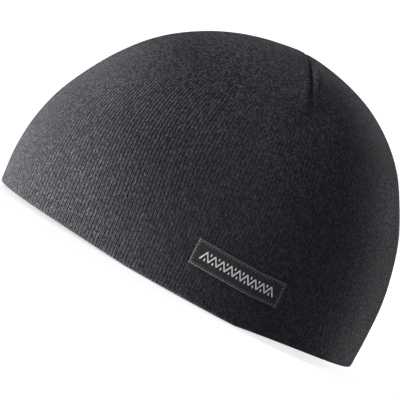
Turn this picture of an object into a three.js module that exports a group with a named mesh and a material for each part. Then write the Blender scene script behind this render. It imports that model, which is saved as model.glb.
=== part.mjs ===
// A close-fitting knit beanie of flame-resistant yarn, standing on its rim as it keeps its form.
// Millimetres. +Z is up, the wearer's front is -X, the wearer's left is -Y.
// The origin is on the floor, under the middle of the cap.

import * as THREE from "three";

// The knitted wall
const WALL = 2.6; // two layers of knit, folded over at the rim
const FOLD_HEIGHT = 1.3; // how high the round of the fold reaches
const REST_ARC = 0.3; // share of the cap's length each way along which the rim lies flat
const FRONT_LIFT = 2.1; // how far the rim curls up at the forehead
const BACK_LIFT = 4.3; // and at the nape

// The side view and the width of the cap, from the rim to the crown.
// front and back are how far each section reaches from the origin, half is half of its width.
const SECTIONS = [
  { height: 0, front: 102, back: 104, half: 82 },
  { height: 20, front: 103.8, back: 104, half: 84.5 },
  { height: 40, front: 102.3, back: 102.8, half: 84.5 },
  { height: 57, front: 98, back: 99.5, half: 82.5 },
  { height: 72, front: 91.2, back: 95, half: 79 },
  { height: 90, front: 80.4, back: 86, half: 72 },
  { height: 104, front: 69, back: 77, half: 63.5 },
  { height: 118, front: 51.5, back: 62.3, half: 50.5 },
  { height: 127, front: 34.6, back: 47.3, half: 38 },
  { height: 132, front: 20.2, back: 34, half: 26.5 },
  { height: 135, front: 6, back: 20, half: 14 },
  { height: 136.2, front: -5.2, back: 5.2, half: 0 },
];
const CROWN = SECTIONS[SECTIONS.length - 1];
const WIDEST_AT_RIM = 11; // the sections are widest a little behind the middle

// The crown darts: seams that take in the tube of knit towards the crown.
// An angle is measured round the cap from the back, +X, towards the wearer's right, +Y.
const SIDE_DART = 79; // degrees from the back, on both sides
const DART_ANGLES = [0, SIDE_DART, 180, 360 - SIDE_DART];
const DART_LENGTH = 50;
const DART_DEPTH = 2.4;
const DART_SPREAD = 3.2; // how fast the valley beside a dart fills up
const DART_START = 0.15; // where on its half wave a dart's depth starts, at the crown
const SEAM_INSIDE = 0.8; // share of a dart's valley that shows inside the cap

// The shallow dent in the cloth under the end of each side dart
const DENT = { run: 62, behind: 6, depth: 1, radius: 9 };

// The woven label on the wearer's left
const LABEL_LENGTH = 49;
const LABEL_WIDTH = 13;
const LABEL_THICKNESS = 0.9;
const LABEL_GAP = 0.3; // between the label and the knit
const LABEL_HEIGHT = 23.5; // of its middle, up the cloth from the rim

// How finely the surfaces are divided
const SHORT_PANEL_STEPS = 16; // columns between the back dart and a side dart
const LONG_PANEL_STEPS = 20; // columns between a side dart and the front dart
const OUTER_ROWS = 24;
const INNER_ROWS = 15;
const ROW_POWER = 1.5; // above 1, rows lie closer together towards the crown
const LABEL_STEPS = { along: 26, across: 5 };

const radians = THREE.MathUtils.degToRad;

// The distance up the cloth of the cap's side to each section
const STATIONS = [0];
for (let i = 1; i < SECTIONS.length; i++) {
  const rise = SECTIONS[i].height - SECTIONS[i - 1].height;
  const run = SECTIONS[i].half - SECTIONS[i - 1].half;
  STATIONS.push(STATIONS[i - 1] + Math.hypot(rise, run));
}
const CLOTH_LENGTH = STATIONS[STATIONS.length - 1];

// Past the crown the cloth runs down the other side, so the section there is the mirror of the
// one before the crown. Its slopes make the crown smooth.
const BEFORE_CROWN = SECTIONS[SECTIONS.length - 2];
const PAST_CROWN = {
  height: BEFORE_CROWN.height,
  front: -BEFORE_CROWN.back,
  back: -BEFORE_CROWN.front,
  half: -BEFORE_CROWN.half,
};
const KNOTS = [...STATIONS, 2 * CLOTH_LENGTH - STATIONS[STATIONS.length - 2]];
const ROWS = [...SECTIONS, PAST_CROWN];

// The slope of one column of the table at one of its rows
function slope(column, i) {
  const after = (ROWS[i + 1][column] - ROWS[i][column]) / (KNOTS[i + 1] - KNOTS[i]);
  if (i === 0) return after;
  const before = (ROWS[i][column] - ROWS[i - 1][column]) / (KNOTS[i] - KNOTS[i - 1]);
  const share = (KNOTS[i] - KNOTS[i - 1]) / (KNOTS[i + 1] - KNOTS[i - 1]);
  return before + (after - before) * share;
}

// One column of the table at any distance up the cloth, on a smooth curve through its rows
function columnAt(column, station) {
  let i = 0;
  while (i < SECTIONS.length - 2 && station > KNOTS[i + 1]) i++;
  const span = KNOTS[i + 1] - KNOTS[i];
  const t = (station - KNOTS[i]) / span;
  const start = ROWS[i][column];
  const end = ROWS[i + 1][column];
  const leave = slope(column, i) * span;
  const arrive = slope(column, i + 1) * span;
  const bend = 2 * (start - end) + leave + arrive;
  const swell = 3 * (end - start) - 2 * leave - arrive;
  return ((bend * t + swell) * t + leave) * t + start;
}

// How far the rim's curl raises the cloth. It fades out towards the crown.
function liftAt(angle, height) {
  const along = Math.cos(angle);
  const past = Math.max(0, (Math.abs(along) - REST_ARC) / (1 - REST_ARC));
  const most = along > 0 ? BACK_LIFT : FRONT_LIFT;
  return most * past * (2 - past) * (1 - height / CROWN.height) ** 2;
}

// A point of the outside, before darts and dents
function smoothPoint(angle, station) {
  const height = columnAt("height", station);
  const share = height / CROWN.height;
  const widest = WIDEST_AT_RIM * (1 - share) + CROWN.back * share;
  const along = Math.cos(angle);
  const reach =
    along > 0
      ? columnAt("back", station) - widest
      : columnAt("front", station) + widest;
  return new THREE.Vector3(
    widest + reach * along,
    columnAt("half", station) * Math.sin(angle),
    height + liftAt(angle, height),
  );
}

// How far a point moves for each radian round the cap
function aroundAt(angle, station) {
  const step = 1e-3;
  const ahead = smoothPoint(angle + step, station);
  return ahead.sub(smoothPoint(angle - step, station)).divideScalar(2 * step);
}

// The direction straight out of the cloth
function outwardAt(angle, station) {
  const step = 0.05;
  if (station > CLOTH_LENGTH - step) return new THREE.Vector3(0, 0, 1);
  const upwards = smoothPoint(angle, station + step);
  upwards.sub(smoothPoint(angle, station - step));
  return aroundAt(angle, station).cross(upwards).normalize();
}

// The turn from one angle to another, the short way round
function turn(from, to) {
  const difference = to - from;
  return Math.atan2(Math.sin(difference), Math.cos(difference));
}

const CROWN_POINT = smoothPoint(0, CLOTH_LENGTH);

// How far the darts pull the cloth in
function dartDrop(angle, station) {
  const run = smoothPoint(angle, station).distanceTo(CROWN_POINT);
  if (run >= DART_LENGTH) return 0;
  const wave = DART_START + ((1 - DART_START) * run) / DART_LENGTH;
  const depth = DART_DEPTH * Math.sin(Math.PI * wave);
  const around = aroundAt(angle, station).length();
  const drops = DART_ANGLES.map((dart) => {
    const beside = Math.abs(turn(radians(dart), angle)) * around;
    return depth * Math.exp(-beside / DART_SPREAD);
  });
  return Math.max(...drops);
}

// How far the dents under the side darts pull the cloth in
function dentDrop(angle, station) {
  const run = smoothPoint(angle, station).distanceTo(CROWN_POINT) - DENT.run;
  const around = aroundAt(angle, station).length();
  const drops = [SIDE_DART, -SIDE_DART].map((dart) => {
    const towardsBack = -Math.sign(dart) * turn(radians(dart), angle) * around;
    const away = Math.hypot(run, towardsBack - DENT.behind) / DENT.radius;
    return DENT.depth * Math.exp(-away * away);
  });
  return Math.max(...drops);
}

function outerPoint(angle, station) {
  const drop = dartDrop(angle, station) + dentDrop(angle, station);
  return smoothPoint(angle, station).addScaledVector(outwardAt(angle, station), -drop);
}

function innerPoint(angle, station) {
  const seam = SEAM_INSIDE * dartDrop(angle, station);
  const depth = WALL + seam + dentDrop(angle, station);
  return smoothPoint(angle, station).addScaledVector(outwardAt(angle, station), -depth);
}

// The round of the fold at the rim, from outside to inside.
// inward is a share of the wall, rise a share of the fold's height. Its underside is flat.
const FOLD = [
  { inward: 0.08, rise: 0.38 },
  { inward: 0.27, rise: 0 },
  { inward: 0.73, rise: 0 },
  { inward: 0.92, rise: 0.38 },
];

function foldPoint(angle, { inward, rise }) {
  const out = outwardAt(angle, 0).setZ(0).normalize();
  const foot = smoothPoint(angle, 0).addScaledVector(out, -inward * WALL);
  foot.z += rise * FOLD_HEIGHT;
  return foot;
}

// The angles of the columns. Every dart lies on one of them.
function columnAngles() {
  const steps = [SHORT_PANEL_STEPS, LONG_PANEL_STEPS, LONG_PANEL_STEPS, SHORT_PANEL_STEPS];
  const angles = [];
  DART_ANGLES.forEach((dart, panel) => {
    const next = DART_ANGLES[panel + 1] ?? 360;
    for (let i = 0; i < steps[panel]; i++) {
      angles.push(radians(dart + ((next - dart) * i) / steps[panel]));
    }
  });
  return angles;
}

// The distances up the cloth of the rows, from just below the crown to the top of the fold
function rowStations(count) {
  const stations = [];
  for (let i = 1; i <= count; i++) {
    const share = (i / count) ** ROW_POWER;
    stations.push(CLOTH_LENGTH - (CLOTH_LENGTH - FOLD_HEIGHT) * share);
  }
  return stations;
}

// A closed body from its first pole, through rings of points, to its last pole
function closedBody(firstPole, rings, lastPole) {
  const count = rings[0].length;
  const points = [firstPole, ...rings.flat(), lastPole];
  const last = points.length - 1;
  const at = (ring, i) => 1 + ring * count + (i % count);
  const faces = [];
  for (let i = 0; i < count; i++) {
    faces.push(0, at(0, i), at(0, i + 1));
    for (let ring = 0; ring < rings.length - 1; ring++) {
      faces.push(at(ring, i), at(ring + 1, i), at(ring + 1, i + 1));
      faces.push(at(ring, i), at(ring + 1, i + 1), at(ring, i + 1));
    }
    faces.push(at(rings.length - 1, i), last, at(rings.length - 1, i + 1));
  }
  const geometry = new THREE.BufferGeometry().setFromPoints(points);
  geometry.setIndex(faces);
  geometry.computeVertexNormals();
  return geometry;
}

function knitShell() {
  const angles = columnAngles();
  const ring = (point, ...place) => angles.map((angle) => point(angle, ...place));
  const outer = rowStations(OUTER_ROWS).map((station) => ring(outerPoint, station));
  const fold = FOLD.map((place) => ring(foldPoint, place));
  const inner = rowStations(INNER_ROWS).reverse();
  const inside = inner.map((station) => ring(innerPoint, station));
  const top = outerPoint(0, CLOTH_LENGTH);
  const under = innerPoint(0, CLOTH_LENGTH);
  return closedBody(top, [...outer, ...fold, ...inside], under);
}

// The angle that lies a distance round the cap from another angle
function angleAfter(start, distance, station) {
  const steps = 40;
  let angle = start;
  for (let i = 0; i < steps; i++) {
    angle += distance / steps / aroundAt(angle, station).length();
  }
  return angle;
}

// A plate that follows the cloth. Its rings run round its edge section, from its front end to
// its back end.
function label() {
  const { along, across } = LABEL_STEPS;
  const middle = -radians(SIDE_DART);
  const place = (i, j, height) => {
    const distance = LABEL_LENGTH * (i / along - 0.5);
    const angle = angleAfter(middle, distance, LABEL_HEIGHT);
    const station = LABEL_HEIGHT + LABEL_WIDTH * (j / across - 0.5);
    return outerPoint(angle, station).addScaledVector(outwardAt(angle, station), height);
  };
  const rings = [];
  for (let i = 0; i <= along; i++) {
    const ring = [];
    for (let j = 0; j <= across; j++) ring.push(place(i, j, LABEL_GAP + LABEL_THICKNESS));
    for (let j = across; j >= 0; j--) ring.push(place(i, j, LABEL_GAP));
    rings.push(ring);
  }
  const mid = LABEL_GAP + LABEL_THICKNESS / 2;
  return closedBody(place(0, across / 2, mid), rings, place(along, across / 2, mid));
}

const charcoalKnit = new THREE.MeshStandardMaterial({
  color: "#3a3a3f",
  roughness: 0.95,
  metalness: 0,
});
const labelWeave = new THREE.MeshStandardMaterial({
  color: "#231f1f",
  roughness: 0.7,
  metalness: 0,
});

function piece(name, geometry, material) {
  const mesh = new THREE.Mesh(geometry, material);
  mesh.name = name;
  return mesh;
}

const beanie = new THREE.Group();
beanie.add(
  piece("knit_shell", knitShell(), charcoalKnit),
  piece("label", label(), labelWeave),
);

export default beanie;
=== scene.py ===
"""A flame-resistant knit beanie: its knitted shell, its woven label, and the studio it stands in.

The form is worked out in millimetres from one table of sections, and the meshes are in metres.
The wearer's front is -X, the wearer's left is -Y, and the floor is at z = 0.
"""
import math
from collections import defaultdict

import bpy
import numpy as np
from bpy.props import FloatProperty, FloatVectorProperty, IntProperty, PointerProperty
from mathutils import Matrix, Vector


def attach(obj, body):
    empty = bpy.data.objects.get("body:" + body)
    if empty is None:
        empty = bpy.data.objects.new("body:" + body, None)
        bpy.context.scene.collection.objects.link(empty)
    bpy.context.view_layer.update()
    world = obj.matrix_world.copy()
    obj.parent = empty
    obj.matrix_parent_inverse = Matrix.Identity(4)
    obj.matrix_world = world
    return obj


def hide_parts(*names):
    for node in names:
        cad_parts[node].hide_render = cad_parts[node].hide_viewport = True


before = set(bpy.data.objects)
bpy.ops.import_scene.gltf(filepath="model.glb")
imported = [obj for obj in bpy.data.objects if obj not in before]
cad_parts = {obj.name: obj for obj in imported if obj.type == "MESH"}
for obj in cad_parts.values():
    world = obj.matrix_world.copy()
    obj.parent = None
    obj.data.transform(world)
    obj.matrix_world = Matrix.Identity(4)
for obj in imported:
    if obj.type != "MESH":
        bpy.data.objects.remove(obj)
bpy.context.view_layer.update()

bl_info = {
    "name": "Knit beanie",
    "version": (1, 0, 0),
    "blender": (4, 5, 0),
    "location": "3D View > Sidebar > Beanie",
    "description": "Knits a heathered charcoal beanie with crown darts and a woven label",
    "category": "Add Mesh",
}

MM = 0.001
TINY = 1e-12

# The form: how far each section reaches from the origin, in millimetres
HEIGHT, FRONT, BACK, HALF = range(4)
SECTIONS = np.array([
    (0, 102, 104, 82),
    (20, 103.8, 104, 84.5),
    (40, 102.3, 102.8, 84.5),
    (57, 98, 99.5, 82.5),
    (72, 91.2, 95, 79),
    (90, 80.4, 86, 72),
    (104, 69, 77, 63.5),
    (118, 51.5, 62.3, 50.5),
    (127, 34.6, 47.3, 38),
    (132, 20.2, 34, 26.5),
    (135, 6, 20, 14),
    (136.2, -5.2, 5.2, 0),
])
CROWN = SECTIONS[-1]

# The rim: where it is widest, the arc it rests on, and its lift past that arc
WIDEST_AT_RIM = 11
REST_ARC = 0.3
FRONT_LIFT = 2.1
BACK_LIFT = 4.3

# The wall and the round of its fold
WALL = 2.6
FOLD_HEIGHT = 1.3
FOLD_RINGS = 6

# The hollows of the crown darts, in degrees from the back towards the wearer's right
SIDE_DART = 79
DART_ANGLES = np.radians([0, SIDE_DART, 180, 360 - SIDE_DART, 360])
DART_LENGTH = 50
DART_DEPTH = 0.8
DART_SPREAD = 3.2
DART_START = 0.15

# The seam in each hollow: its groove, and how far and which way it leads the hollow's middle
GROOVE_DEPTH = 1.9
GROOVE_WIDTH = 0.55
GROOVE_BANK = 0.3
SEAM_LENGTH = 60
SEAM_ENTRY = 15
SEAM_FADE = 5
SEAM_AHEAD = 5
AHEAD_ENTRY = 12
SEAM_WAYS = (0, 1, 0, -1, 0)
SEAM_INSIDE = 0.8

# The swell of the cloth beside each side seam: a bank in front of it and a puff behind it
BANK_HEIGHT = 1.7
BANK_REACH = 4.5
BANK_FROM = 12
BANK_UNTIL = 65
PUFF_HEIGHT = 3.9
PUFF_FRONT = 1.8
PUFF_REACH = 8
PUFF_ROUNDNESS = 1.5
PUFF_RUN = 39
PUFF_SPAN = 13

# The dent below each side dart, by its run from the crown and its way behind the dart
DENT_RUN = 67
DENT_BEHIND = 6
DENT_DEPTH = 1
DENT_RADIUS = 9

# Where the wales bunch up in front of the end of each side dart
BUNCH_RUN = 63.5
BUNCH_BEHIND = -7
BUNCH_RADIUS = 5
BUNCH_RIDGES = 3

# The wales, the columns of knit that run from the rim to the crown
SAMPLES_PER_WALE = 3
FRONT_STRETCH = 0.29
BACK_STRETCH = 0.1
SEAM_STATION = 112
LEAN_FROM = 12
LEAN_UNTIL = 98
LEAN_ANGLE = 0.13
LEAD_SPREAD = 0.6
OUTER_ROWS = 84
INNER_ROWS = 14
ROW_POWER = 1.15
UNEVEN_FROM = 25
COURSE = 1.4
RING_SAMPLES = 361
PANEL_SAMPLES = 121

# The shell's layout for baked pictures: the share of the height that each part of the wall takes
BAKE_ENDS = (0.01, 0.99)
BAKE_OUTSIDE = (0.6, 0.02)
BAKE_FOLD = (0.6, 0.63)
BAKE_INSIDE = (0.635, 0.98)

# Where the knit looks different, in millimetres up the cloth
RIDGES_UNTIL, RIDGES_GONE = 104, 138
SPECKLE_FROM = 50
LINES_FROM, LINES_FULL = 10, 85
# the band on the upper front that gets painted light
PALE_FROM, PALE_FULL = 58, 80
PALE_UNTIL, PALE_GONE = 102, 128

# Where the knit looks different, in metres behind the origin
STRETCH_UNTIL, STRETCH_GONE = -0.05, 0.005
NAPE_FROM, NAPE_FULL = 0.06, 0.09
STRETCH_BEHIND = 0.24
STRETCH_AT_NAPE = 0.45

# What each layer of the heather, and of the painted light, adds to its tone, and the stops of its ramp
OWN_TONE = 0.5
FIBRE_TONE = 0.6
PATCH_TONE = 0.12
# painted light: how much lighter the bunched patch and the upper front are made
BUNCH_PAINTED_LIGHT = 0.25
PALE_PAINTED_LIGHT = 0.18
EVEN_TONE = 0.44
HEATHER_STOPS = (0.2, 0.5, 1)

# How fine the fibres, patches and flecks are, and how strong the flecks and the legs' tones grow
FIBRES_ACROSS, FIBRES_UP = 4.4, 3.2
PATCHES_ACROSS, PATCHES_UP = 0.33, 0.24
FLECK_SCALE = 780
FLECK_GROWTH = (0.8, 3.8)
FLECKS_BEHIND = 0.05
FLECK_GAIN = 1.6
LIVELY_GAIN = 0.9
LIVELY_AT_NAPE = 0.6

# The gaps between the legs and the dark lines between the wales, both painted shade
OPEN_AT_CROWN = 0.3
GAP_HEIGHT = 0.6
LINE_FROM = 0.08
LINES_AT_RIM = 0.4
BUNCH_LINE_SHADE = 0.5

# What each layer adds to the height of the stitches
WALE_RELIEF = 0.4
LEG_RELIEF = 0.15
BEAD_RELIEF = 0.6
OWN_RELIEF = 0.9
FIBRE_RELIEF = 0.4
FLECK_RELIEF = 0.8
LEAST_RELIEF = 0.2

# The label, sewn along the cloth in front of and behind the left side dart
LABEL_LENGTH = 49
LABEL_WIDTH = 13
LABEL_THICKNESS = 0.9
LABEL_GAP = 0.3
LABEL_STATION = 23.8
LABEL_TILT = 0.022
LABEL_EDGE = 0.97
LABEL_EDGE_DROP = 0.15
LABEL_BULGE = 0.12
LABEL_ARC = (-0.5, 1.0)
LABEL_ARC_SAMPLES = 601
WEAVE_PITCH = 0.42
WEAVE_RELIEF = 0.00012

# The label's threads: insets and lengths in millimetres, floats in metres
BORDER_INSET = 0.3
STITCH_INSET = 1.2
ZIGZAG_LENGTH = 40.5
ZIGZAG_HEIGHT = 4.2
ZIGZAG_PERIOD = 4.5
FLOAT_SIZES = ("Pitch", "Float Length", "Float Width", "Float Height")
BORDER_FLOATS = (0.0011, 0.001, 0.0007, 0.0005)
STITCH_FLOATS = (0.0016, 0.0011, 0.00045, 0.0004)
ZIGZAG_FLOATS = (0.00032, 0.00085, 0.00085, 0.00055)
THREAD_SCALE = 900
SHORTEST_FLOAT = 0.85
LONGEST_FLOAT = 1.1
PLY_TURN = 14000
PLY_RELIEF = 0.00005

# The photograph's camera
CAMERA_PLACE = (-0.00075, -1.4, 0.11)
CAMERA_AIM = (-0.0062, 0, 0.0427)
CAMERA_ROLL = math.radians(28.75)
CAMERA_LENS = 242.5

# The lights: the key light shines through the floor, which casts no shadow
LIGHT_PLACES = {"key": (-2.0, 0.35, -1.4), "fill": (-2.4, -0.9, 0.3), "back": (1.9, 1.9, 0.5)}
LIGHT_AIM = (0, 0, 0.06)
LIGHT_SIZE = 1.2
AIR_COLOUR = (0.96, 0.935, 1.07, 1)


# The form of the cloth

STATIONS = np.concatenate([[0], np.cumsum(np.hypot(*np.diff(SECTIONS[:, [HEIGHT, HALF]], axis=0).T))])
CLOTH_LENGTH = STATIONS[-1]
BEFORE_CROWN = SECTIONS[-2]
PAST_CROWN = (BEFORE_CROWN[HEIGHT], -BEFORE_CROWN[BACK], -BEFORE_CROWN[FRONT], -BEFORE_CROWN[HALF])
ROWS = np.vstack([SECTIONS, PAST_CROWN])
KNOTS = np.append(STATIONS, 2 * CLOTH_LENGTH - STATIONS[-2])


def row_slopes():
    """How fast each column of the table changes at each of its rows."""
    rises = np.diff(ROWS, axis=0) / np.diff(KNOTS)[:, None]
    share = (np.diff(KNOTS)[:-1] / (KNOTS[2:] - KNOTS[:-2]))[:, None]
    return np.vstack([rises[:1], rises[:-1] + (rises[1:] - rises[:-1]) * share])


SLOPES = row_slopes()


def section_at(station):
    """The section at any distance up the cloth, on a smooth curve through the table's rows."""
    last = len(SECTIONS) - 2
    i = np.clip(np.searchsorted(STATIONS, station) - 1, 0, last)
    span = (KNOTS[i + 1] - KNOTS[i])[..., None]
    t = (station - KNOTS[i])[..., None] / span
    start, end = ROWS[i], ROWS[i + 1]
    leave, arrive = SLOPES[i] * span, SLOPES[i + 1] * span
    bend = 2 * (start - end) + leave + arrive
    swell = 3 * (end - start) - 2 * leave - arrive
    return ((bend * t + swell) * t + leave) * t + start


def smooth_point(angle, station):
    """A point of the outside, before the darts, dents and swells."""
    angle, station = np.broadcast_arrays(np.asarray(angle, float), np.asarray(station, float))
    height, front, back, half = np.moveaxis(section_at(station), -1, 0)
    share = height / CROWN[HEIGHT]
    widest = WIDEST_AT_RIM * (1 - share) + CROWN[BACK] * share
    along = np.cos(angle)
    reach = np.where(along > 0, back - widest, front + widest)
    past = np.maximum(0, (abs(along) - REST_ARC) / (1 - REST_ARC))
    most = np.where(along > 0, BACK_LIFT, FRONT_LIFT)
    lift = most * past * (2 - past) * (1 - share) ** 2
    return np.stack([widest + reach * along, half * np.sin(angle), height + lift], -1)


def around_at(angle, station):
    """How far a point moves for each radian round the cap."""
    step = 1e-3
    ahead, behind = smooth_point(angle + step, station), smooth_point(angle - step, station)
    return (ahead - behind) / (2 * step)


def lengths(vectors):
    """The length of each vector."""
    return np.linalg.norm(vectors, axis=-1)


def outward_at(angle, station):
    """The direction straight out of the cloth."""
    step = 0.05
    upwards = smooth_point(angle, station + step) - smooth_point(angle, station - step)
    out = np.cross(around_at(angle, station), upwards)
    size = lengths(out)[..., None]
    out = out / np.maximum(size, TINY)
    at_crown = (np.broadcast_to(station, size.shape[:-1]) > CLOTH_LENGTH - step)[..., None]
    return np.where(at_crown, (0, 0, 1), out)


def turn(start, end):
    """The angle from one direction to another, the short way round."""
    return np.arctan2(np.sin(end - start), np.cos(end - start))


CROWN_POINT = smooth_point(0, CLOTH_LENGTH)


def run_from_crown(angle, station):
    """How far a place lies from the crown's middle, in a straight line."""
    return lengths(smooth_point(angle, station) - CROWN_POINT)


def seam_turn(station):
    """How far each side seam lies in front of the middle of its dart's hollow, in radians."""
    dart = DART_ANGLES[1]
    run = run_from_crown(dart, station)
    ahead = SEAM_AHEAD * np.maximum(0, 1 - run / DART_LENGTH) * np.minimum(1, run / AHEAD_ENTRY)
    return ahead / np.maximum(1, lengths(around_at(dart, station)))


def dart_drop(angle, station):
    """How far the darts pull the cloth in: a broad hollow with a sharp groove near its middle."""
    run = run_from_crown(angle, station)
    wave = DART_START + (1 - DART_START) * run / DART_LENGTH
    along = np.where(run < DART_LENGTH, np.maximum(0, np.sin(np.pi * wave)), 0)
    around = lengths(around_at(angle, station))
    beside = np.min([abs(turn(dart, angle)) for dart in DART_ANGLES], axis=0) * around
    hollow = DART_DEPTH * along * np.exp(-beside / DART_SPREAD)
    return hollow + GROOVE_DEPTH * near_seam(angle, station)


def near_seam(angle, station):
    """1 on the seam line of a dart, fading out at its ends and beside it, fastest in front of it."""
    run = run_from_crown(angle, station)
    moved = seam_turn(station)
    around = lengths(around_at(angle, station))
    away = []
    for dart, way in zip(DART_ANGLES, SEAM_WAYS):
        beside = turn(dart + way * moved, angle) * around
        sharp = (beside / GROOVE_BANK) ** 2
        away.append(np.where(beside * way > 0, sharp, abs(beside) / GROOVE_WIDTH))
    held = np.clip((SEAM_LENGTH - run) / SEAM_FADE, 0, 1) * np.minimum(1, DART_START + run / SEAM_ENTRY)
    return held * np.exp(-np.min(away, axis=0))


def seam_rise(angle, station):
    """How far the cloth swells beside each side seam: up to it in front, over it behind."""
    run = run_from_crown(angle, station)
    puffed = PUFF_HEIGHT * np.exp(-((run - PUFF_RUN) / PUFF_SPAN) ** 2)
    begun = np.clip((run - BANK_FROM) / SEAM_ENTRY, 0, 1)
    banked = BANK_HEIGHT * np.clip((BANK_UNTIL - run) / SEAM_FADE, 0, 1) * begun
    around = lengths(around_at(angle, station))
    rises = []
    for side in (1, -1):
        seam = side * (math.radians(SIDE_DART) + seam_turn(station))
        ahead = side * turn(seam, angle) * around
        behind = np.maximum(0, -ahead)
        puff = (1 - np.exp(-behind / PUFF_FRONT)) * np.exp(-(behind / PUFF_REACH) ** PUFF_ROUNDNESS)
        bank = np.exp(-abs(ahead) / np.where(ahead > 0, BANK_REACH, GROOVE_WIDTH))
        rises.append(puffed * puff + banked * bank)
    return np.max(rises, axis=0)


def dent_drop(angle, station):
    """How far the dents under the side darts pull the cloth in."""
    return DENT_DEPTH * near_side_darts(angle, station, DENT_RUN, DENT_BEHIND, DENT_RADIUS)


def near_side_darts(angle, station, run, behind, radius):
    """1 at one place beside each side dart, fading out over the radius."""
    here = run_from_crown(angle, station)
    around = lengths(around_at(angle, station))
    shares = []
    for side in (1, -1):
        back = -side * turn(side * math.radians(SIDE_DART), angle) * around
        shares.append(np.exp(-((here - run) ** 2 + (back - behind) ** 2) / radius ** 2))
    return np.max(shares, axis=0)


def outer_point(angle, station):
    """A point of the cap's outside."""
    drop = dart_drop(angle, station) + dent_drop(angle, station) - seam_rise(angle, station)
    return smooth_point(angle, station) - outward_at(angle, station) * drop[..., None]


def inner_point(angle, station):
    """A point of the cap's inside, where the seams stand out as ridges."""
    depth = WALL + SEAM_INSIDE * dart_drop(angle, station) + dent_drop(angle, station)
    return smooth_point(angle, station) - outward_at(angle, station) * depth[..., None]


def fold_point(angle, inward, rise):
    """A point of the fold: inward is a share of the wall, rise a share of the fold's height."""
    out = outward_at(angle, 0)
    out[..., 2] = 0
    out /= lengths(out)[..., None]
    foot = smooth_point(angle, 0) - out * inward * WALL
    foot[..., 2] += rise * FOLD_HEIGHT
    return foot


# Nodes written as Python expressions

class Wire:
    """One output of a node. Used with numbers or other wires in an expression, it adds Math nodes."""

    def __init__(self, plan, socket):
        self.plan = plan
        self.socket = socket

    def __getitem__(self, name):
        return Wire(self.plan, self.socket.node.outputs[name])

    def maths(self, operation, *others):
        """This wire and any others put through one Math node."""
        values = dict(enumerate((self, *others)))
        return self.plan.node("ShaderNodeMath", {"operation": operation}, values)

    def __add__(self, other):
        return self.maths("ADD", other)

    def __sub__(self, other):
        return self.maths("SUBTRACT", other)

    def __rsub__(self, other):
        return self.plan.node("ShaderNodeMath", {"operation": "SUBTRACT"}, {0: other, 1: self})

    def __mul__(self, other):
        return self.maths("MULTIPLY", other)

    def __pow__(self, other):
        return self.maths("POWER", other)

    def __abs__(self):
        return self.maths("ABSOLUTE")

    def __neg__(self):
        return self.maths("MULTIPLY", -1)

    __radd__ = __add__
    __rmul__ = __mul__


class Plan:
    """A node tree being drawn up."""

    def __init__(self, tree):
        self.tree = tree

    def node(self, kind, settings=None, links=None, out=0):
        """Adds a node: its settings first, then the value or the wire of each input socket."""
        added = self.tree.nodes.new(kind)
        for name, value in (settings or {}).items():
            if name == "stops":
                self.set_stops(added.color_ramp, value)
            else:
                setattr(added, name, value)
        for name, value in (links or {}).items():
            socket = added.inputs[name]
            if isinstance(value, Wire):
                self.tree.links.new(value.socket, socket)
            else:
                socket.default_value = value
        return Wire(self, added.outputs[out]) if len(added.outputs) else added

    @staticmethod
    def set_stops(ramp, stops):
        """Gives a colour ramp its stops, each a place and a colour."""
        while len(ramp.elements) < len(stops):
            ramp.elements.new(1)
        for element, (position, colour) in zip(ramp.elements, stops):
            element.position = position
            element.color = (*colour, 1)

    def ramp(self, value, stops):
        """A number turned into a colour by a ramp."""
        return self.node("ShaderNodeValToRGB", {"stops": stops}, {0: value})

    def range(self, value, low, high, to_low=0, to_high=1):
        """A number moved from one range to another with soft ends."""
        links = {"Value": value, "From Min": low, "From Max": high, "To Min": to_low, "To Max": to_high}
        return self.node("ShaderNodeMapRange", {"interpolation_type": "SMOOTHSTEP"}, links)

    def vector(self, x, y, z=0):
        """Three numbers as one vector."""
        return self.node("ShaderNodeCombineXYZ", None, {"X": x, "Y": y, "Z": z})

    def split(self, vector):
        """A vector, whose parts are read by the names X, Y and Z."""
        return self.node("ShaderNodeSeparateXYZ", None, {0: vector})

    def noise(self, place, scale=1, detail=2, roughness=0.5):
        """Soft noise, as a number from 0 to 1."""
        links = {"Vector": place, "Scale": scale, "Detail": detail, "Roughness": roughness}
        return self.node("ShaderNodeTexNoise", None, links)["Fac"]

    def random(self, place, dimensions="3D"):
        """A random number of its own for each whole place."""
        settings = {"noise_dimensions": dimensions}
        return self.node("ShaderNodeTexWhiteNoise", settings, {"Vector": place})["Value"]

    def carried(self, name):
        """A number that the mesh carries."""
        return self.node("ShaderNodeAttribute", {"attribute_name": name})["Fac"]

    def mix(self, factor, first, second, blend):
        """Two colours blended, as a wire of colour."""
        links = {0: factor}
        for index, colour in {6: first, 7: second}.items():
            links[index] = colour if isinstance(colour, Wire) else (*colour, 1)
        return self.node("ShaderNodeMix", {"data_type": "RGBA", "blend_type": blend}, links, out=2)

    def grey(self, value):
        """A number as a grey colour."""
        return self.node("ShaderNodeCombineColor", None, {0: value, 1: value, 2: value})


def new_finish(name):
    """An empty material and the plan of its nodes."""
    material = bpy.data.materials.new(name)
    material.use_nodes = True
    material.node_tree.nodes.clear()
    return material, Plan(material.node_tree)


def surface(plan, colour, roughness, height, bump_distance, fixed):
    """The shader of a cloth: what varies comes as wires, and fixed holds the even values."""
    bump = {"Strength": 1.0, "Distance": bump_distance, "Height": height}
    normal = plan.node("ShaderNodeBump", None, bump)
    links = {"Base Color": colour, "Roughness": roughness, "Normal": normal, **fixed}
    shader = plan.node("ShaderNodeBsdfPrincipled", None, links)
    plan.node("ShaderNodeOutputMaterial", None, {"Surface": shader})


# Finishes

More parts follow.
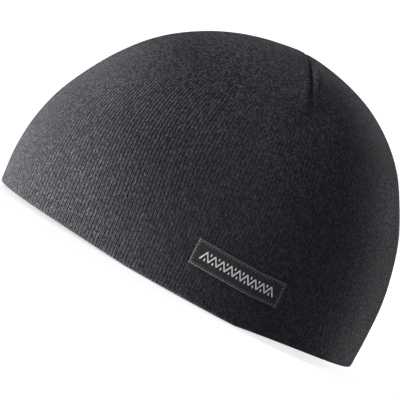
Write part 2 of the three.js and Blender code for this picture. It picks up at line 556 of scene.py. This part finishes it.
def knit_finish(looks):
    """Heathered yarn in plain knit: two slanting legs for each stitch, each with a tone of its own."""
    material, plan = new_finish("heathered_charcoal_knit")
    place = plan.split(plan.node("ShaderNodeUVMap", {"uv_map": "knit"}))
    across, up = place["X"], place["Y"]
    whole = plan.node("ShaderNodeTexCoord", out="Object")
    back = plan.split(whole)["X"]
    # how near each point lies to a seam line, which gets painted shade, and to the bunched patch, which
    # gets painted light and painted shade lines
    seam, bunched = plan.carried("seam"), plan.carried("bunched")

    def rising(low, high, to_low=0, to_high=1):
        return plan.range(up, low / COURSE, high / COURSE, to_low, to_high)

    # the two legs of a stitch, which slant up and outwards from the middle of its wale
    beside = abs(across.maths("FRACT") - 0.5)
    climb = up - beside * looks.leg_slant
    leg = (across * 2).maths("FLOOR")
    half_leg = (climb * 2).maths("FLOOR")

    # the cloth is stretched in front, and a little at the nape
    nape = plan.range(back, NAPE_FROM, NAPE_FULL)
    stretched = plan.range(back, STRETCH_UNTIL, STRETCH_GONE, 1, STRETCH_BEHIND) + nape * STRETCH_AT_NAPE

    # a tone for each half of each leg, the finer fibres along it, and patches over many stitches
    own = plan.random(plan.vector(leg, half_leg, 3))
    fibres = plan.noise(plan.vector(across * FIBRES_ACROSS, climb * FIBRES_UP), roughness=0.6)
    patches = plan.noise(plan.vector(across * PATCHES_ACROSS, up * PATCHES_UP))
    flecks = plan.noise(whole, FLECK_SCALE, 1)
    strength = rising(SPECKLE_FROM, RIDGES_GONE, *FLECK_GROWTH)
    speckle = (flecks - 0.5) * strength * (FLECKS_BEHIND + stretched * FLECK_GAIN + nape * FLECK_GAIN)
    lively = 1 + rising(SPECKLE_FROM, RIDGES_UNTIL, 0, LIVELY_GAIN) * stretched
    mean = (OWN_TONE + FIBRE_TONE) / 2
    varied = (own * OWN_TONE + fibres * FIBRE_TONE - mean) * (lively + nape * LIVELY_AT_NAPE)
    # painted light: the upper front is made paler, and the bunched patch lighter, where light falls on
    # them
    pale = rising(PALE_FROM, PALE_FULL) * rising(PALE_UNTIL, PALE_GONE, 1, 0) * stretched ** 2
    patches_and_painted_light = patches * PATCH_TONE + bunched * BUNCH_PAINTED_LIGHT + pale * PALE_PAINTED_LIGHT
    stops = zip(HEATHER_STOPS, (looks.dark_yarn, looks.middle_yarn, looks.light_yarn))
    yarn = plan.ramp(varied + speckle + patches_and_painted_light + EVEN_TONE, list(stops))

    # the rounded legs and the gaps between them, which close up towards the crown; the gaps get painted
    # shade
    open_knit = rising(RIDGES_UNTIL, RIDGES_GONE, 1, OPEN_AT_CROWN)
    leg_offset = abs(beside - 0.25) * 4
    round_leg = 1 - leg_offset ** 2
    round_wale = 1 - (beside * 2) ** 2
    bead = (climb.maths("FRACT") * math.pi).maths("SINE")
    height = round_wale * WALE_RELIEF + round_leg * (LEG_RELIEF + bead * BEAD_RELIEF)
    # painted shade in the low places between the legs
    gap_shade = 1 - plan.range(height, 0, GAP_HEIGHT, looks.gap_darkness, 0) * open_knit

    # painted shade in the dark lines between the wales and in the folds of the seams
    divided = open_knit * stretched * rising(LINES_FROM, LINES_FULL, LINES_AT_RIM, 1)
    divided = (divided + bunched * BUNCH_LINE_SHADE).maths("MINIMUM", 1)
    line = 1 - plan.range(beside, LINE_FROM, 0.5, 0, looks.line_darkness) * divided
    # painted shade in the fold of each dart seam
    fold = 1 - seam ** 2 * looks.seam_darkness
    colour = plan.mix(1, yarn, plan.grey(gap_shade * line * fold), "MULTIPLY")

    tight = LEAST_RELIEF + stretched * (1 - LEAST_RELIEF)
    stitches = (height * open_knit + own * OWN_RELIEF) * tight
    relief = stitches + fibres * FIBRE_RELIEF + flecks * FLECK_RELIEF
    surface(plan, colour, 0.88 + fibres * 0.12, relief, looks.stitch_relief, {
        "Specular IOR Level": 0.15,
        "Sheen Weight": looks.sheen,
        "Sheen Roughness": 0.5,
    })
    return material


def ribbon_finish(looks):
    """The label's ground: fine black-brown threads in a plain weave."""
    material, plan = new_finish("black_brown_ribbon")
    place = plan.split(plan.node("ShaderNodeUVMap", {"uv_map": "weave"}))
    across, up = place["X"], place["Y"]
    whole_across, whole_up = across.maths("FLOOR"), up.maths("FLOOR")
    odd = ((whole_across + whole_up) * 0.5).maths("FRACT") * 2
    warp = (across.maths("FRACT") * math.pi).maths("SINE")
    weft = (up.maths("FRACT") * math.pi).maths("SINE")
    height = odd * warp + (1 - odd) * weft
    own = plan.random(plan.vector(whole_across, whole_up), "2D")
    worn = plan.noise(plan.vector(across * 0.12, up * 0.3), detail=3)
    # each thread's own tone, painted shade where the threads dip at their edges, and a soft noise
    tone = own * 0.5 + height * 0.25 + worn * 0.4
    colour = plan.ramp(tone, [(0.2, looks.ribbon_dark), (0.9, looks.ribbon_light)])
    even = {"Specular IOR Level": 0.35, "Sheen Weight": 0.1}
    surface(plan, colour, 0.55 + own * 0.2, height, WEAVE_RELIEF, even)
    return material


def thread_finish(name, colour):
    """A twisted thread: its plies show as fine slanting lines."""
    material, plan = new_finish(name)
    whole = plan.node("ShaderNodeTexCoord", out="Object")
    place = plan.split(whole)
    plies = ((place["X"] + place["Z"]) * PLY_TURN).maths("SINE")
    own = plan.noise(whole, THREAD_SCALE)
    # the thread's own random tone, with painted shade and light along its plies
    shade = plan.grey(0.78 + own * 0.4 + plies * 0.06)
    tinted = plan.mix(1, tuple(colour), shade, "MULTIPLY")
    surface(plan, tinted, 0.6 + own * 0.2, plies + own, PLY_RELIEF, {"Specular IOR Level": 0.3})
    return material


# Geometry node trees

class Tree(Plan):
    """A Geometry Nodes tree with named inputs, one geometry in and one geometry out."""

    SOCKETS = {float: "NodeSocketFloat", int: "NodeSocketInt"}

    def __init__(self, name, inputs):
        super().__init__(bpy.data.node_groups.new(name, "GeometryNodeTree"))
        self.identifiers = {}
        self.add_input("Geometry", "NodeSocketGeometry", None)
        for title, default in inputs.items():
            self.add_input(title, self.SOCKETS[type(default)], default)
        self.add_input("Finish", "NodeSocketMaterial", None)
        self.tree.interface.new_socket("Geometry", in_out="OUTPUT", socket_type="NodeSocketGeometry")
        self.given = self.node("NodeGroupInput")

    def add_input(self, title, kind, default):
        """Adds a named input, and keeps its identifier for the modifier."""
        socket = self.tree.interface.new_socket(title, in_out="INPUT", socket_type=kind)
        if default is not None:
            socket.default_value = default
        self.identifiers[title] = socket.identifier

    def finish(self, geometry):
        """The tree's end: real meshes that carry the finish."""
        real = self.node("GeometryNodeRealizeInstances", None, {0: geometry})
        smooth = self.node("GeometryNodeSetShadeSmooth", None, {"Geometry": real})
        links = {"Geometry": smooth, "Material": self.given["Finish"]}
        self.node("NodeGroupOutput", None, {0: self.node("GeometryNodeSetMaterial", None, links)})


def knit_relief_tree():
    """Closes the dart seams, then raises a ridge along each wale and makes the cloth uneven."""
    tree = Tree("Knit relief", {
        "Ridge Height": 0.0001,
        "Unevenness": 0.0004,
        "Uneven Scale": 38.0,
        "Join Distance": 0.000002,
    })
    given = tree.given
    wale, rise, ridged = (
        tree.node("GeometryNodeInputNamedAttribute", {"data_type": "FLOAT"}, {"Name": name})
        for name in ("wale", "rise", "ridged")
    )
    joined = tree.node("GeometryNodeMergeByDistance", None, {
        "Geometry": given["Geometry"], "Distance": given["Join Distance"],
    })
    valley = 0.5 + (wale * (2 * math.pi)).maths("COSINE") * 0.5
    noise = tree.node("ShaderNodeTexNoise", None, {"Scale": given["Uneven Scale"], "Detail": 1.0})
    sag = noise["Fac"] * given["Unevenness"] * rise
    drop = valley * given["Ridge Height"] * ridged + sag
    normal = tree.node("GeometryNodeInputNormal")
    offset = tree.node("ShaderNodeVectorMath", {"operation": "SCALE"}, {0: normal, "Scale": -drop})
    tree.finish(tree.node("GeometryNodeSetPosition", None, {"Geometry": joined, "Offset": offset}))
    return tree


def thread_float_tree():
    """Lays short floats of thread along the paths it is given, at an even pitch."""
    inputs = dict(zip(FLOAT_SIZES, BORDER_FLOATS))
    inputs.update({"Shortest": SHORTEST_FLOAT, "Longest": LONGEST_FLOAT, "Seed": 1})
    tree = Tree("Thread floats", inputs)
    given = tree.given
    path = tree.node("GeometryNodeMeshToCurve", None, {"Mesh": given["Geometry"]})
    along = {"Curve": path, "Length": given["Pitch"]}
    points = tree.node("GeometryNodeResampleCurve", {"mode": "LENGTH"}, along)
    bead = tree.node("GeometryNodeMeshUVSphere", None, {"Segments": 8, "Rings": 5, "Radius": 0.5})
    tangent = tree.node("GeometryNodeInputTangent")
    followed = tree.node("FunctionNodeAlignRotationToVector", {"axis": "X"}, {"Vector": tangent})
    spread = {"Min": given["Shortest"], "Max": given["Longest"], "Seed": given["Seed"]}
    random = tree.node("FunctionNodeRandomValue", {"data_type": "FLOAT"}, spread, out=1)
    size = tree.vector(given["Float Length"] * random, given["Float Width"], given["Float Height"])
    tree.finish(tree.node("GeometryNodeInstanceOnPoints", None, {
        "Points": points, "Instance": bead, "Rotation": followed, "Scale": size,
    }))
    return tree


def grown(name, mesh, tree, values):
    """A mesh put through a node tree and baked to a plain mesh."""
    source = bpy.data.objects.new(name + "_source", mesh)
    bpy.context.scene.collection.objects.link(source)
    modifier = source.modifiers.new("Grow", "NODES")
    modifier.node_group = tree.tree
    for title, value in values.items():
        modifier[tree.identifiers[title]] = value
    scene_graph = bpy.context.evaluated_depsgraph_get()
    baked = bpy.data.meshes.new_from_object(
        source.evaluated_get(scene_graph), preserve_all_data_layers=True, depsgraph=scene_graph
    )
    source.modifiers.remove(modifier)
    bpy.data.objects.remove(source)
    bpy.data.meshes.remove(mesh)
    if not len(baked.polygons):
        raise RuntimeError(f"{name}: its node tree gave no faces")
    return baked


def shown(name, mesh):
    """A finished mesh as an object at the origin."""
    mesh.name = name
    piece = bpy.data.objects.new(name, mesh)
    bpy.context.scene.collection.objects.link(piece)
    return piece


# The knitted shell

def perimeter_at(station):
    """The way round the cap at one station."""
    ring = smooth_point(np.linspace(0, 2 * np.pi, RING_SAMPLES), station)
    return lengths(np.diff(ring, axis=0)).sum()


def wales_passed(panel, station):
    """How many wales, in a relative measure, lie before each of a panel's angles."""
    angles = np.linspace(DART_ANGLES[panel], DART_ANGLES[panel + 1], PANEL_SAMPLES)
    widths = lengths(np.diff(smooth_point(angles, station), axis=0))
    along = np.cos((angles[1:] + angles[:-1]) / 2)
    stretch = 1 - np.where(along < 0, FRONT_STRETCH, BACK_STRETCH) * along
    return angles, np.concatenate([[0], np.cumsum(widths / stretch)])


def wale_places(station, tau, panel, wale_counts):
    """The angle and the wale number of each column at one station.

    tau runs from -1 to 1 across a panel. Above the seam station a wale keeps its width, so the
    outer ones run into the darts and end there."""
    crowding = max(1, perimeter_at(SEAM_STATION) / max(perimeter_at(station), 1))
    kept = np.clip(tau * crowding, -1, 1)
    share = (kept + 1) / 2
    away = np.where(panel % 2 == 1, 1, -1)
    t = np.clip((station - LEAN_FROM) / (LEAN_UNTIL - LEAN_FROM), 0, 1)
    lean = LEAN_ANGLE * t * t * (3 - 2 * t)
    angle = away * lean * np.sin(np.pi * share)
    for each in range(4):
        angles, passed = wales_passed(each, station)
        here = panel == each
        angle[here] += np.interp(share[here] * passed[-1], passed, angles)
    for dart in (1, 3):
        beside = turn(DART_ANGLES[dart], angle)
        led = np.exp(-(beside / LEAD_SPREAD) ** 2)
        angle = angle + SEAM_WAYS[dart] * seam_turn(station) * led
    first = np.concatenate([[0], np.cumsum(wale_counts)])[panel]
    number = first + wale_counts[panel] * (kept / crowding + 1) / 2
    return angle, number


def wale_shares(wales):
    """How many wales each panel has at the rim."""
    back, front = (wales_passed(panel, 0)[1][-1] for panel in (0, 1))
    behind = round(wales / 2 * back / (back + front))
    ahead = wales // 2 - behind
    return np.array([behind, ahead, ahead, behind])


def knit_rings(wales):
    """The shell's rings from the crown, over the fold, to the crown's inside: a table for each value."""
    counts = wale_shares(wales)
    panel = np.repeat(np.arange(4), counts * SAMPLES_PER_WALE)
    index = np.concatenate([np.arange(count * SAMPLES_PER_WALE) for count in counts])
    steps = (counts * SAMPLES_PER_WALE)[panel]
    left, right = 2 * index / steps - 1, 2 * (index + 1) / steps - 1
    tables = defaultdict(list)

    def stations(count):
        share = (np.arange(1, count + 1) / count) ** ROW_POWER
        return CLOTH_LENGTH - (CLOTH_LENGTH - FOLD_HEIGHT) * share

    def add(station, place, travelled, rise, bake):
        angle, number = wale_places(station, left, panel, counts)
        next_angle, next_number = wale_places(station, right, panel, counts)
        past = np.clip((station - RIDGES_UNTIL) / (RIDGES_GONE - RIDGES_UNTIL), 0, 1)
        bunched = near_side_darts(angle, station, BUNCH_RUN, BUNCH_BEHIND, BUNCH_RADIUS)
        ring = {
            "points": place(angle),
            "knit_left": pairs(number, travelled / COURSE),
            "knit_right": pairs(next_number, travelled / COURSE),
            "bake_left": pairs(angle / (2 * np.pi), bake),
            "bake_right": pairs(next_angle / (2 * np.pi), bake),
            "rise": np.full(len(number), rise),
            "ridged": 1 - past + BUNCH_RIDGES * bunched,
            # how near the seam line each point lies, for the painted shade in its fold
            "seam": near_seam(angle, station),
            "bunched": bunched,
            "wale": number,
        }
        for name, row in ring.items():
            tables[name].append(row)

    fold_way = math.pi * FOLD_HEIGHT
    for station in stations(OUTER_ROWS):
        rise = min(1, station / UNEVEN_FROM)
        bake = between(BAKE_OUTSIDE, station / CLOTH_LENGTH)
        add(station, lambda angle: outer_point(angle, station), station, rise, bake)
    for ring in range(1, FOLD_RINGS):
        theta = math.pi * ring / FOLD_RINGS
        inward, lift = (1 - math.cos(theta)) / 2, 1 - math.sin(theta)
        travelled = FOLD_HEIGHT - fold_way * ring / FOLD_RINGS
        bake = between(BAKE_FOLD, ring / FOLD_RINGS)
        add(0, lambda angle: fold_point(angle, inward, lift), travelled, 0, bake)
    for station in stations(INNER_ROWS)[::-1]:
        travelled = 2 * FOLD_HEIGHT - fold_way - station
        bake = between(BAKE_INSIDE, station / CLOTH_LENGTH)
        add(station, lambda angle: inner_point(angle, station), travelled, 0, bake)
    return {name: np.array(rows) for name, rows in tables.items()}


def pairs(first, second):
    """Two values for each point of a ring, side by side."""
    return np.stack(np.broadcast_arrays(first, second), -1)


def between(ends, share):
    """The value at a share of the way from the first of two ends to the second."""
    return ends[0] + (ends[1] - ends[0]) * share


def knit_lattice(wales):
    """The shell before its relief: its mesh with the wales' places on it."""
    tables = knit_rings(wales)
    rings, columns = tables["wale"].shape
    crown, under = outer_point(0, CLOTH_LENGTH), inner_point(0, CLOTH_LENGTH)
    vertices = np.vstack([crown, tables["points"].reshape(-1, 3), under]) * MM

    def at(ring, column):
        return 1 + ring * columns + column % columns

    ring, column = np.meshgrid(np.arange(rings - 1), np.arange(columns), indexing="ij")
    corners = [at(ring, column), at(ring + 1, column), at(ring + 1, column + 1), at(ring, column + 1)]
    quads = np.stack(corners, -1).reshape(-1, 4)
    column = np.arange(columns)
    last = np.full(columns, len(vertices) - 1)
    top_fan = np.stack([np.zeros(columns, int), at(0, column), at(0, column + 1)], -1)
    end_fan = np.stack([at(rings - 1, column), last, at(rings - 1, column + 1)], -1)
    mesh = bpy.data.meshes.new("knit_lattice")
    mesh.from_pydata(vertices.tolist(), [], top_fan.tolist() + quads.tolist() + end_fan.tolist())

    left, right = tables["knit_left"], tables["knit_right"]
    top, end = (left[0] + right[0]) / 2 + (0, 1), (left[-1] + right[-1]) / 2 - (0, 1)
    write_uv(mesh, "knit", face_corners(left, right, top, end))
    left, right = tables["bake_left"], tables["bake_right"]
    top, end = (
        (left[ring] + right[ring]) / 2 * (1, 0) + (0, height)
        for ring, height in zip((0, -1), BAKE_ENDS)
    )
    write_uv(mesh, "OFBake", face_corners(left, right, top, end))
    for name in ("rise", "ridged", "seam", "bunched", "wale"):
        at_crown = 1 if name == "rise" else 0
        write_values(mesh, name, np.concatenate([[at_crown], tables[name].reshape(-1), [0]]))
    return mesh


def face_corners(left, right, top, end):
    """The values at the corners of the shell's faces: the crown's fan, the rings and the last fan."""
    return [
        np.stack([top, left[0], right[0]], 1),
        np.stack([left[:-1], left[1:], right[1:], right[:-1]], 2),
        np.stack([left[-1], end, right[-1]], 1),
    ]


def write_uv(mesh, name, blocks):
    """A UV map from the corners of the mesh's faces, in their order."""
    layer = mesh.uv_layers.new(name=name)
    corners = np.concatenate([block.reshape(-1) for block in blocks])
    layer.data.foreach_set("uv", corners.astype(np.float32))


def write_values(mesh, name, values):
    """One number for each vertex."""
    layer = mesh.attributes.new(name, "FLOAT", "POINT")
    layer.data.foreach_set("value", values.astype(np.float32))


# The label

def label_place(points):
    """Points of the flat label, in metres, moved onto the cloth. x runs back, y up, z outwards."""
    x, y, z = (points / MM).T
    angles = np.linspace(*(-np.pi / 2 + end for end in LABEL_ARC), LABEL_ARC_SAMPLES)
    ring = smooth_point(angles, np.full(len(angles), LABEL_STATION))
    way = np.concatenate([[0], np.cumsum(lengths(np.diff(ring, axis=0)))])
    middle = np.interp(-math.radians(SIDE_DART), angles, way)
    angle = np.interp(x + middle, way, angles)
    station = LABEL_STATION + y - LABEL_TILT * x
    out = outward_at(angle, station)
    return (outer_point(angle, station) + out * (LABEL_GAP + z)[:, None]) * MM


def wrap_label(mesh):
    """Moves a flat mesh onto the cloth."""
    points = np.empty(len(mesh.vertices) * 3, np.float32)
    mesh.vertices.foreach_get("co", points)
    moved = label_place(points.reshape(-1, 3).astype(float))
    mesh.vertices.foreach_set("co", moved.astype(np.float32).reshape(-1))
    mesh.update()


def label_ground():
    """The label's ribbon, flat: a closed plate with rounded long edges."""
    along, across, sides = 96, 26, 3
    half = LABEL_WIDTH / 2
    profile = [(half * (2 * j / across - 1), 1) for j in range(across + 1)]
    for j in range(1, sides):
        profile.append((half + LABEL_BULGE * math.sin(math.pi * j / sides), 1 - j / sides))
    profile += [(-y, 1 - level) for y, level in profile]
    count = len(profile)
    vertices, uvs = [], []
    for x in np.linspace(-LABEL_LENGTH / 2, LABEL_LENGTH / 2, along + 1):
        for y, level in profile:
            edge = max(abs(x) / (LABEL_LENGTH / 2), abs(y) / half)
            near_edge = max(0, edge - LABEL_EDGE) / (1 - LABEL_EDGE)
            drop = LABEL_EDGE_DROP * near_edge if level > 0.5 else 0
            vertices.append((x * MM, y * MM, (level * LABEL_THICKNESS - drop) * MM))
            uvs.append((x / WEAVE_PITCH, y / WEAVE_PITCH))
    faces = []
    for i in range(along):
        for j in range(count):
            a, b = i * count + j, i * count + (j + 1) % count
            faces.append((a, a + count, b + count, b))
    faces.append(tuple(range(count)))
    faces.append(tuple(along * count + j for j in reversed(range(count))))
    mesh = bpy.data.meshes.new("label_ground")
    mesh.from_pydata(vertices, [], faces)
    corner_vertices = np.empty(len(mesh.loops), np.int32)
    mesh.loops.foreach_get("vertex_index", corner_vertices)
    write_uv(mesh, "weave", [np.array(uvs)[corner_vertices]])
    return mesh


def path_mesh(paths):
    """Lines of flat label points, in millimetres, as the edges of a mesh."""
    vertices, edges = [], []
    for path in paths:
        first = len(vertices)
        vertices += [(x * MM, y * MM, LABEL_THICKNESS * MM) for x, y in path]
        edges += [(first + i, first + i + 1) for i in range(len(path) - 1)]
    mesh = bpy.data.meshes.new("thread_paths")
    mesh.from_pydata(vertices, edges, [])
    return mesh


def border_paths(inset):
    """The four edges of the label, a little inside them."""
    x, y = LABEL_LENGTH / 2 - inset, LABEL_WIDTH / 2 - inset
    return [[(-x, y), (x, y)], [(-x, -y), (x, -y)], [(-x, -y), (-x, y)], [(x, -y), (x, y)]]


def zigzag_paths(length, height, period):
    """A plain zigzag border and a short dash in each of its gaps."""
    count = round(length / period * 2)
    zigzag, dashes = [], []
    for i in range(count + 1):
        x = length * (i / count - 0.5)
        side = 1 if i % 2 else -1
        zigzag.append((x, height / 2 * side))
        if 0 < i < count:
            dashes.append([(x, -height / 2 * side), (x, -height / 3 * side)])
    return [zigzag, *dashes]


# Settings that a user would change

class KnitSettings(bpy.types.PropertyGroup):
    """The knitted shell."""

    wales: IntProperty(name="Wales", description="Columns of knit round the cap", default=316, min=40)
    ridge: FloatProperty(
        name="Ridge height", description="How far each wale stands out",
        default=0.0001, unit="LENGTH", precision=5,
    )
    unevenness: FloatProperty(
        name="Unevenness", description="Depth of the soft hollows of the cloth",
        default=0.0004, unit="LENGTH", precision=5,
    )
    stitch_relief: FloatProperty(
        name="Stitch relief", description="Height of the stitches' legs",
        default=0.0005, unit="LENGTH", precision=5,
    )
    leg_slant: FloatProperty(name="Leg slant", description="How steep the V of a stitch is", default=1.3)
    # painted shade in the gaps between the legs
    gap_darkness: FloatProperty(
        name="Gap darkness", description="How dark the gaps between the legs are",
        default=0.25, subtype="FACTOR", min=0, max=1,
    )
    # painted shade in the lines between the wales
    line_darkness: FloatProperty(
        name="Line darkness", description="How dark the lines between the wales are",
        default=0.95, subtype="FACTOR", min=0, max=1,
    )
    # painted shade in the folds of the dart seams
    seam_darkness: FloatProperty(
        name="Seam darkness", description="How dark the folds of the dart seams are",
        default=0.4, subtype="FACTOR", min=0, max=1,
    )
    sheen: FloatProperty(
        name="Fuzz", description="Soft shine of the fibre ends",
        default=0.08, subtype="FACTOR", min=0, max=1,
    )
    dark_yarn: FloatVectorProperty(
        name="Dark fibre", description="Darkest fibre of the heather",
        subtype="COLOR", default=(0.021, 0.0205, 0.0233), min=0, max=1,
    )
    middle_yarn: FloatVectorProperty(
        name="Middle fibre", description="Most of the heather",
        subtype="COLOR", default=(0.043, 0.042, 0.0476), min=0, max=1,
    )
    light_yarn: FloatVectorProperty(
        name="Light fibre", description="Lightest fibre of the heather",
        subtype="COLOR", default=(0.1115, 0.1093, 0.1236), min=0, max=1,
    )


class LabelSettings(bpy.types.PropertyGroup):
    """The woven label."""

    ribbon_dark: FloatVectorProperty(
        name="Ribbon shade", description="Darkest thread of the ribbon",
        subtype="COLOR", default=(0.012, 0.010, 0.010), min=0, max=1,
    )
    ribbon_light: FloatVectorProperty(
        name="Ribbon light", description="Lightest thread of the ribbon",
        subtype="COLOR", default=(0.056, 0.046, 0.046), min=0, max=1,
    )
    border: FloatVectorProperty(
        name="Border thread", description="Thread along the label's edges",
        subtype="COLOR", default=(0.25, 0.252, 0.27), min=0, max=1,
    )
    stitching: FloatVectorProperty(
        name="Sewing thread", description="Thread of the running stitch inside the edges",
        subtype="COLOR", default=(0.24, 0.24, 0.255), min=0, max=1,
    )
    ornament: FloatVectorProperty(
        name="Ornament thread", description="Thread of the zigzag",
        subtype="COLOR", default=(1, 0.985, 0.985), min=0, max=1,
    )


class StudioSettings(bpy.types.PropertyGroup):
    """The lights."""

    key: FloatProperty(
        name="Key light", description="Power of the light below the forehead",
        default=262, unit="POWER",
    )
    fill: FloatProperty(
        name="Fill light", description="Power of the light in front", default=57, unit="POWER",
    )
    back: FloatProperty(
        name="Back light", description="Power of the light behind the nape", default=60, unit="POWER",
    )
    ambient: FloatProperty(
        name="Ambient", description="Strength of the light from all round", default=0.26,
    )
    paper_glow: FloatProperty(
        name="Paper glow", description="How bright the backdrop is by itself", default=0.72,
    )


# Operators

def settle(piece, slot, *replaced):
    """Gives a finished piece its body and hides the CAD nodes it stands for. The slot is not used."""
    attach(piece, "root")
    if replaced:
        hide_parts(*replaced)


class BEANIE_OT_shell(bpy.types.Operator):
    """Knit the shell: its wall, fold, darts and wales"""

    bl_idname = "beanie.shell"
    bl_label = "Knitted shell"

    def execute(self, context):
        looks = context.scene.beanie_knit
        lattice = knit_lattice(looks.wales)
        mesh = grown("knit_shell_looks", lattice, knit_relief_tree(), {
            "Ridge Height": looks.ridge,
            "Unevenness": looks.unevenness,
            "Finish": knit_finish(looks),
        })
        settle(shown("knit_shell_looks", mesh), "knit", "knit_shell")
        return {"FINISHED"}


class BEANIE_OT_label(bpy.types.Operator):
    """Weave the label and sew it on"""

    bl_idname = "beanie.label"
    bl_label = "Woven label"

    def execute(self, context):
        looks = context.scene.beanie_label
        ground = label_ground()
        ground.materials.append(ribbon_finish(looks))
        ground.shade_smooth()
        wrap_label(ground)
        settle(shown("label_ribbon", ground), "label_weave", "label")
        floats = thread_float_tree()
        border, stitching = border_paths(BORDER_INSET), border_paths(STITCH_INSET)
        zigzag = zigzag_paths(ZIGZAG_LENGTH, ZIGZAG_HEIGHT, ZIGZAG_PERIOD)
        threads = [
            ("label_border", border, BORDER_FLOATS, "border_thread", looks.border),
            ("label_stitching", stitching, STITCH_FLOATS, "sewing_thread", looks.stitching),
            ("label_zigzag", zigzag, ZIGZAG_FLOATS, "ornament_thread", looks.ornament),
        ]
        for name, paths, sizes, finish_name, colour in threads:
            values = dict(zip(FLOAT_SIZES, sizes))
            values["Finish"] = thread_finish(finish_name, colour)
            mesh = grown(name, path_mesh(paths), floats, values)
            wrap_label(mesh)
            settle(shown(name, mesh), "label_weave")
        return {"FINISHED"}


def area_light(name, place, power):
    """A soft round light that is aimed at the cap and that the camera doesn't see."""
    lamp = bpy.data.lights.new(name, "AREA")
    lamp.shape = "DISK"
    lamp.size = LIGHT_SIZE
    lamp.energy = power
    holder = bpy.data.objects.new(name, lamp)
    holder.location = place
    holder.rotation_euler = (Vector(LIGHT_AIM) - Vector(place)).to_track_quat("-Z", "Y").to_euler()
    holder.visible_camera = False
    bpy.context.scene.collection.objects.link(holder)


def backdrop_mesh():
    """A round pale floor that turns up into a wall far from the cap."""
    sides, curve_steps = 96, 8
    radius, bend, wall = 3.2, 0.8, 2.2
    profile = [(0.5, 0), (1.5, 0)]
    for i in range(curve_steps + 1):
        theta = math.pi / 2 * i / curve_steps
        profile.append((radius - bend + bend * math.sin(theta), bend - bend * math.cos(theta)))
    profile.append((radius, wall))
    drop = -0.0004
    vertices = [(0, 0, drop)]
    for r, z in profile:
        for k in range(sides):
            angle = 2 * math.pi * k / sides
            vertices.append((r * math.cos(angle), r * math.sin(angle), z + drop))
    faces = [(0, 1 + k, 1 + (k + 1) % sides) for k in range(sides)]
    for i in range(len(profile) - 1):
        for k in range(sides):
            a, b = 1 + i * sides + k, 1 + i * sides + (k + 1) % sides
            faces.append((a, a + sides, b + sides, b))
    mesh = bpy.data.meshes.new("backdrop")
    mesh.from_pydata(vertices, [], faces)
    mesh.shade_smooth()
    return mesh


def studio_camera():
    """The camera at the photograph's angle to the cap, turned round its own axis as there."""
    lens = bpy.data.cameras.new("camera")
    lens.lens = CAMERA_LENS
    lens.sensor_width = 36
    lens.clip_end = 20
    camera = bpy.data.objects.new("camera", lens)
    forward = (Vector(CAMERA_AIM) - Vector(CAMERA_PLACE)).normalized()
    right = forward.cross(Vector((0, 0, 1))).normalized()
    up = right.cross(forward)
    x = right * math.cos(CAMERA_ROLL) + up * math.sin(CAMERA_ROLL)
    y = up * math.cos(CAMERA_ROLL) - right * math.sin(CAMERA_ROLL)
    turned = Matrix((x, y, -forward)).transposed()
    camera.matrix_world = Matrix.Translation(CAMERA_PLACE) @ turned.to_4x4()
    bpy.context.scene.collection.objects.link(camera)
    bpy.context.scene.camera = camera


class BEANIE_OT_studio(bpy.types.Operator):
    """Set up the pale floor, the lights and the camera"""

    bl_idname = "beanie.studio"
    bl_label = "Studio"

    def execute(self, context):
        looks = context.scene.beanie_studio
        backdrop = shown("backdrop", backdrop_mesh())
        material, plan = new_finish("pale_paper")
        shader = plan.node("ShaderNodeBsdfPrincipled", None, {
            "Base Color": (0.85, 0.85, 0.85, 1),
            "Roughness": 1.0,
            "Specular IOR Level": 0.0,
            "Emission Color": (1, 1, 1, 1),
            "Emission Strength": looks.paper_glow,
        })
        plan.node("ShaderNodeOutputMaterial", None, {"Surface": shader})
        backdrop.data.materials.append(material)
        backdrop.visible_diffuse = False
        backdrop.visible_glossy = False
        backdrop.visible_shadow = False
        for name, place in LIGHT_PLACES.items():
            area_light(name + "_light", place, getattr(looks, name))
        world = bpy.data.worlds.new("studio_air")
        world.use_nodes = True
        background = world.node_tree.nodes["Background"]
        background.inputs["Color"].default_value = AIR_COLOUR
        background.inputs["Strength"].default_value = looks.ambient
        context.scene.world = world
        context.scene.view_settings.view_transform = "Standard"
        studio_camera()
        return {"FINISHED"}


class BEANIE_PT_maker(bpy.types.Panel):
    """Makes the beanie piece by piece"""

    bl_idname = "BEANIE_PT_maker"
    bl_label = "Beanie"
    bl_space_type = "VIEW_3D"
    bl_region_type = "UI"
    bl_category = "Beanie"

    def draw(self, context):
        for operator, settings in STEPS:
            box = self.layout.box()
            box.operator(operator.bl_idname)
            group = getattr(context.scene, settings)
            for name in group.bl_rna.properties.keys():
                if name not in ("rna_type", "name"):
                    box.prop(group, name)


STEPS = [
    (BEANIE_OT_studio, "beanie_studio"),
    (BEANIE_OT_shell, "beanie_knit"),
    (BEANIE_OT_label, "beanie_label"),
]
SETTINGS = {"beanie_studio": StudioSettings, "beanie_knit": KnitSettings, "beanie_label": LabelSettings}
CLASSES = [*SETTINGS.values(), *(operator for operator, _ in STEPS), BEANIE_PT_maker]


def register():
    """Adds the classes, and the settings to every scene."""
    for item in CLASSES:
        bpy.utils.register_class(item)
    for name, group in SETTINGS.items():
        setattr(bpy.types.Scene, name, PointerProperty(type=group))


def unregister():
    """Takes the settings and the classes away again."""
    for name in SETTINGS:
        delattr(bpy.types.Scene, name)
    for item in reversed(CLASSES):
        bpy.utils.unregister_class(item)


def main():
    """Makes the beanie."""
    register()
    bpy.ops.beanie.studio()
    bpy.ops.beanie.shell()
    bpy.ops.beanie.label()


if __name__ == "__main__":
    main()
